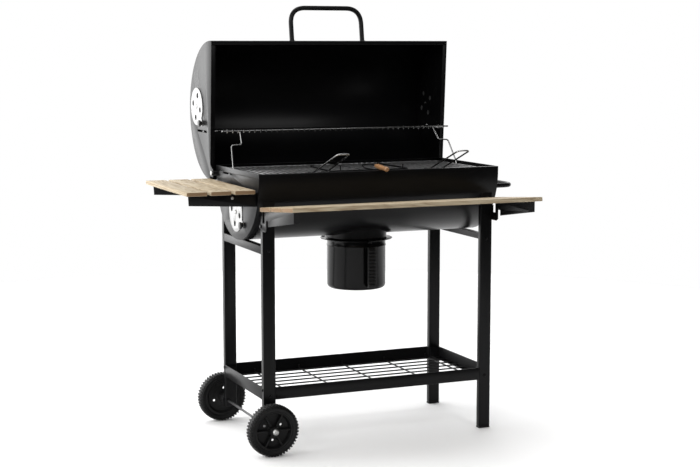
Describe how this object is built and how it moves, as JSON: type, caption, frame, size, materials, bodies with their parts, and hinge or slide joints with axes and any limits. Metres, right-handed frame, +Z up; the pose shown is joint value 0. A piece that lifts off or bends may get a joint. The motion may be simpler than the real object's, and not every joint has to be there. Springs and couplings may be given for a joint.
{
  "type": "barrel charcoal grill",
  "caption": "Barrel charcoal grill on a two-wheeled trolley, hinged lid open, with warming rack, slatted side and front shelves, wire shelf and ash bucket.",
  "frame": {"origin": "centre of the bounding box's base, on the ground", "axes": "+X along the barrel from the side shelf to the push handle, +Y from the front to the back, +Z up"},
  "size_m": [1.179, 0.939, 1.3999],
  "materials": {
    "black_paint": "satin black powder coat",
    "black_wire": "satin black coated wire",
    "gloss_enamel": "gloss black enamel",
    "black_plastic": "matt black moulded plastic",
    "black_knob": "satin black heat-proof plastic",
    "zinc_steel": "bright zinc plated",
    "bright_steel": "satin stainless sheet",
    "chromed_wire": "bright chromed wire",
    "grey_grate": "dull grey plated wire",
    "pine": "planed pale softwood, light clear coat",
    "tool_wood": "turned hardwood, oiled"
  },
  "bodies": {
    "frame": {"leg_front_left": "black_paint", "leg_rear_left": "black_paint", "leg_front_right": "black_paint", "leg_rear_right": "black_paint", "foot_cap_front": "black_plastic", "foot_cap_rear": "black_plastic", "cradle_left": "black_paint", "rail_left": "black_paint", "cradle_right": "black_paint", "rail_right": "black_paint", "rail_front": "black_paint", "rail_rear": "black_paint", "wire_shelf": "black_wire", "axle": "zinc_steel", "hub_cap_front": "zinc_steel", "hub_cap_rear": "zinc_steel", "barrel_skin": "black_paint", "barrel_end_left": "black_paint", "barrel_end_right": "black_paint", "push_handle": "black_paint", "hinge_bolt_left": "zinc_steel", "hinge_bolt_right": "zinc_steel", "ash_collar": "black_paint", "side_bracket_front": "black_paint", "side_bracket_rear": "black_paint", "side_slat_1": "pine", "side_slat_2": "pine", "side_slat_3": "pine"},
    "lid": {"lid_skin": "black_paint", "lid_end_left": "black_paint", "lid_end_right": "black_paint", "lid_handle": "black_paint"},
    "damper_lid_left": {"damper_lid_left": "bright_steel", "damper_knob_lid_left": "black_knob"},
    "damper_lid_right": {"damper_lid_right": "bright_steel", "damper_knob_lid_right": "black_knob"},
    "damper_barrel": {"damper_barrel": "bright_steel", "damper_knob_barrel": "black_knob"},
    "warming_rack": {"warming_rack": "chromed_wire"},
    "rack_leg_left": {"rack_leg_left": "chromed_wire"},
    "rack_leg_right": {"rack_leg_right": "chromed_wire"},
    "wheel_front": {"rim_front": "black_plastic", "tyre_front": "black_plastic"},
    "wheel_rear": {"rim_rear": "black_plastic", "tyre_rear": "black_plastic"},
    "cooking_grid_left": {"cooking_grid_left": "grey_grate", "grid_handle_left": "chromed_wire"},
    "cooking_grid_right": {"cooking_grid_right": "grey_grate", "grid_handle_right": "chromed_wire"},
    "charcoal_grate_left": {"charcoal_grate_left": "grey_grate"},
    "charcoal_grate_right": {"charcoal_grate_right": "grey_grate"},
    "grid_lifter": {"lifter_fork": "black_paint", "lifter_handle": "tool_wood"},
    "front_shelf": {"front_slat_1": "pine", "front_slat_2": "pine", "front_slat_3": "pine", "front_bracket_left": "black_paint", "front_bracket_right": "black_paint"},
    "ash_bucket": {"ash_bucket": "gloss_enamel", "bucket_grip": "black_knob"}
  },
  "joints": [
    {"name": "lid_hinge", "type": "hinge", "parent": "frame", "child": "lid", "pos_m": [0.0605, 0.23267, 0.848], "axis": [1, 0, 0], "range_deg": [0, 83]},
    {"name": "rack_pivot", "type": "hinge", "parent": "lid", "child": "warming_rack", "pos_m": [0.0605, 0.32067, 0.981], "axis": [1, 0, 0], "range_deg": [-83, 0]},
    {"name": "rack_leg_left_pivot", "type": "hinge", "parent": "frame", "child": "rack_leg_left", "pos_m": [-0.3435, 0.09067, 0.855], "axis": [1, 0, 0], "range_deg": [0, 83]},
    {"name": "rack_leg_right_pivot", "type": "hinge", "parent": "frame", "child": "rack_leg_right", "pos_m": [0.4645, 0.09067, 0.855], "axis": [1, 0, 0], "range_deg": [0, 83]},
    {"name": "damper_lid_left_turn", "type": "hinge", "parent": "lid", "child": "damper_lid_left", "pos_m": [-0.3705, 0.38838, 1.06136], "axis": [1, 0, 0], "range_deg": [0, 45]},
    {"name": "damper_lid_right_turn", "type": "hinge", "parent": "lid", "child": "damper_lid_right", "pos_m": [0.4915, 0.38838, 1.06136], "axis": [1, 0, 0], "range_deg": [0, 45]},
    {"name": "damper_barrel_turn", "type": "hinge", "parent": "frame", "child": "damper_barrel", "pos_m": [-0.3525, 0.03567, 0.738], "axis": [1, 0, 0], "range_deg": [0, 45]},
    {"name": "wheel_front_spin", "type": "hinge", "parent": "frame", "child": "wheel_front", "pos_m": [-0.3295, -0.22233, 0.082], "axis": [0, 1, 0], "continuous": true},
    {"name": "wheel_rear_spin", "type": "hinge", "parent": "frame", "child": "wheel_rear", "pos_m": [-0.3295, 0.27767, 0.082], "axis": [0, 1, 0], "continuous": true},
    {"name": "cooking_grid_left_lift", "type": "slide", "parent": "frame", "child": "cooking_grid_left", "axis": [0, 0, -1], "range_m": [-0.012, 0]},
    {"name": "cooking_grid_right_lift", "type": "slide", "parent": "frame", "child": "cooking_grid_right", "axis": [0, 0, -1], "range_m": [-0.012, 0]},
    {"name": "grid_lifter_lift", "type": "slide", "parent": "cooking_grid_left", "child": "grid_lifter", "axis": [0, 0, -1], "range_m": [-0.04, 0]},
    {"name": "charcoal_grate_left_lift", "type": "slide", "parent": "frame", "child": "charcoal_grate_left", "axis": [0, 0, -1], "range_m": [-0.02, 0]},
    {"name": "charcoal_grate_right_lift", "type": "slide", "parent": "frame", "child": "charcoal_grate_right", "axis": [0, 0, -1], "range_m": [-0.02, 0]},
    {"name": "front_shelf_fold", "type": "hinge", "parent": "frame", "child": "front_shelf", "pos_m": [0.0605, -0.16133, 0.712], "axis": [1, 0, 0], "range_deg": [0, 88]},
    {"name": "bucket_turn", "type": "hinge", "parent": "frame", "child": "ash_bucket", "pos_m": [0.0605, 0.02767, 0.6], "axis": [0, 0, 1], "range_deg": [0, 60]}
  ],
  "couplings": [
    {"joint": "rack_pivot", "follows": "lid_hinge", "ratio": -1},
    {"joint": "rack_leg_left_pivot", "follows": "lid_hinge", "ratio": 1},
    {"joint": "rack_leg_right_pivot", "follows": "lid_hinge", "ratio": 1},
    {"joint": "cooking_grid_right_lift", "follows": "cooking_grid_left_lift", "ratio": 1}
  ]
}
